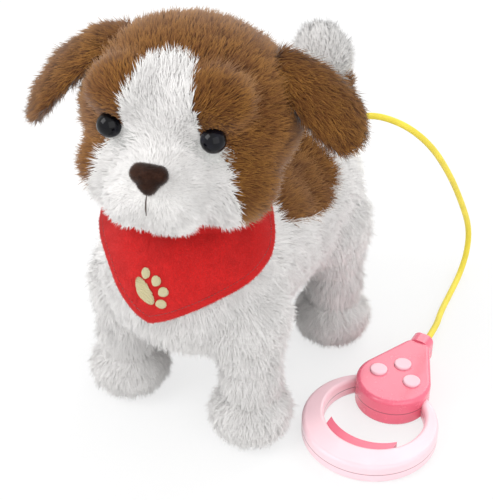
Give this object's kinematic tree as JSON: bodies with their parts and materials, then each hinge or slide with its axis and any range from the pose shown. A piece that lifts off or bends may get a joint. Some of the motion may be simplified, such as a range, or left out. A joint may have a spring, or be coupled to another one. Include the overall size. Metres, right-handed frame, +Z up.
{
  "type": "interactive plush pet",
  "caption": "Walking plush puppy with floppy ears, red bandana and motor-driven legs and tail, on a yellow lead with a ring handset that has push buttons and a finger trigger",
  "frame": {"origin": "on the floor, midway between the four paws", "axes": "+Z up; the puppy faces -Y; its left side, where the lead and handset lie, is +X"},
  "size_m": [0.2254, 0.28, 0.238],
  "materials": {
    "white_plush": "long soft pile",
    "brown_plush": "long soft pile, golden tips",
    "stuffing": "polyester wadding",
    "eye_gloss": "polished bead",
    "inner_plastic": "moulded",
    "nose_plush": "short flocked pile",
    "red_velour": "velour with a turned hem",
    "steel": "plated",
    "cell_wrap": "shrink wrap",
    "board": "printed circuit board",
    "black_plastic": "moulded",
    "yellow_cord": "smooth soft vinyl",
    "grommet": "soft vinyl",
    "hot_pink": "moulded, polished",
    "pale_pink": "moulded, satin",
    "dark_pink": "moulded",
    "button_pink": "moulded, satin",
    "gear_nylon": "nylon",
    "sole_rubber": "soft rubber"
  },
  "bodies": {
    "torso": {"body_plush": "white_plush", "face_white_plush": "white_plush", "side_patch": "brown_plush", "head_brown_plush": "brown_plush", "ear_left": "brown_plush", "ear_right": "brown_plush", "head_stuffing": "stuffing", "eye_left": "eye_gloss", "eye_right": "eye_gloss", "eye_washers": "inner_plastic", "neck_post": "inner_plastic", "chassis_left": "inner_plastic", "chassis_right": "inner_plastic", "battery_tray": "inner_plastic", "battery_lid": "inner_plastic", "nose": "nose_plush", "bandana": "red_velour", "chassis_screws": "steel", "lid_screw": "steel", "pivot_pins": "steel", "gear_axles": "steel", "battery_contacts": "steel", "motor": "steel", "trigger_spring": "steel", "battery_cells": "cell_wrap", "circuit_board": "board", "controller_board": "board", "speaker": "black_plastic", "lead_cord": "yellow_cord", "cord_grommet": "grommet", "housing_top": "hot_pink", "housing_bottom": "hot_pink", "ring_top": "pale_pink", "ring_bottom": "pale_pink"},
    "switch": {"power_switch": "black_plastic"},
    "rotor": {"motor_pinion": "gear_nylon"},
    "gear_one": {"idler_gear_one": "gear_nylon"},
    "gear_two": {"idler_gear_two": "gear_nylon"},
    "crank": {"crank_gear": "gear_nylon", "crank_disc_left": "gear_nylon", "crank_disc_right": "gear_nylon"},
    "tail": {"tail_lever": "inner_plastic", "tail_base_plush": "brown_plush", "tail_tip_plush": "white_plush"},
    "trigger_bar": {"trigger": "dark_pink"},
    "key_one": {"button_one": "button_pink"},
    "key_two": {"button_two": "button_pink"},
    "key_three": {"button_three": "button_pink"},
    "leg_front_left": {"leg_frame_front_left": "inner_plastic", "leg_plush_front_left": "white_plush", "foot_sole_front_left": "sole_rubber"},
    "leg_front_right": {"leg_frame_front_right": "inner_plastic", "leg_plush_front_right": "white_plush", "foot_sole_front_right": "sole_rubber"},
    "leg_rear_left": {"leg_frame_rear_left": "inner_plastic", "leg_plush_rear_left": "white_plush", "foot_sole_rear_left": "sole_rubber"},
    "leg_rear_right": {"leg_frame_rear_right": "inner_plastic", "leg_plush_rear_right": "white_plush", "foot_sole_rear_right": "sole_rubber"}
  },
  "joints": [
    {"name": "front_left_swing", "type": "hinge", "parent": "torso", "child": "leg_front_left", "pos_m": [0.042, -0.052, 0.084], "axis": [1, 0, 0], "range_deg": [-11.5, 11.5]},
    {"name": "front_right_swing", "type": "hinge", "parent": "torso", "child": "leg_front_right", "pos_m": [-0.042, -0.052, 0.084], "axis": [1, 0, 0], "range_deg": [-11.5, 11.5]},
    {"name": "rear_left_swing", "type": "hinge", "parent": "torso", "child": "leg_rear_left", "pos_m": [0.042, 0.052, 0.084], "axis": [1, 0, 0], "range_deg": [-11.5, 11.5]},
    {"name": "rear_right_swing", "type": "hinge", "parent": "torso", "child": "leg_rear_right", "pos_m": [-0.042, 0.052, 0.084], "axis": [1, 0, 0], "range_deg": [-11.5, 11.5]},
    {"name": "crank_turn", "type": "hinge", "parent": "torso", "child": "crank", "pos_m": [0, 0, 0.098], "axis": [1, 0, 0], "continuous": true},
    {"name": "gear_two_turn", "type": "hinge", "parent": "torso", "child": "gear_two", "pos_m": [0, 0.0152, 0.103], "axis": [1, 0, 0], "continuous": true},
    {"name": "gear_one_turn", "type": "hinge", "parent": "torso", "child": "gear_one", "pos_m": [0, 0.0304, 0.098], "axis": [1, 0, 0], "continuous": true},
    {"name": "motor_turn", "type": "hinge", "parent": "torso", "child": "rotor", "pos_m": [0, 0.0456, 0.103], "axis": [1, 0, 0], "continuous": true},
    {"name": "tail_wag", "type": "hinge", "parent": "torso", "child": "tail", "pos_m": [0.004, 0.084, 0.134], "axis": [0, 1, 0], "range_deg": [-18, 18]},
    {"name": "power_slide", "type": "slide", "parent": "torso", "child": "switch", "axis": [1, 0, 0], "range_m": [0, 0.0028]},
    {"name": "button_one_press", "type": "slide", "parent": "torso", "child": "key_one", "axis": [0, 0, -1], "range_m": [0, 0.001], "stiffness_N_per_m": 600, "springref_m": -0.0005},
    {"name": "button_two_press", "type": "slide", "parent": "torso", "child": "key_two", "axis": [0, 0, -1], "range_m": [0, 0.001], "stiffness_N_per_m": 600, "springref_m": -0.0005},
    {"name": "button_three_press", "type": "slide", "parent": "torso", "child": "key_three", "axis": [0, 0, -1], "range_m": [0, 0.001], "stiffness_N_per_m": 600, "springref_m": -0.0005},
    {"name": "trigger_squeeze", "type": "slide", "parent": "torso", "child": "trigger_bar", "axis": [0, -1, 0], "range_m": [0, 0.0025], "stiffness_N_per_m": 500, "springref_m": -0.0008}
  ],
  "couplings": [
    {"joint": "front_right_swing", "follows": "front_left_swing", "ratio": -1},
    {"joint": "rear_left_swing", "follows": "front_left_swing", "ratio": -1},
    {"joint": "rear_right_swing", "follows": "front_left_swing", "ratio": 1},
    {"joint": "gear_one_turn", "follows": "motor_turn", "ratio": -0.33333},
    {"joint": "gear_two_turn", "follows": "motor_turn", "ratio": 0.11111},
    {"joint": "crank_turn", "follows": "motor_turn", "ratio": -0.037037}
  ]
}
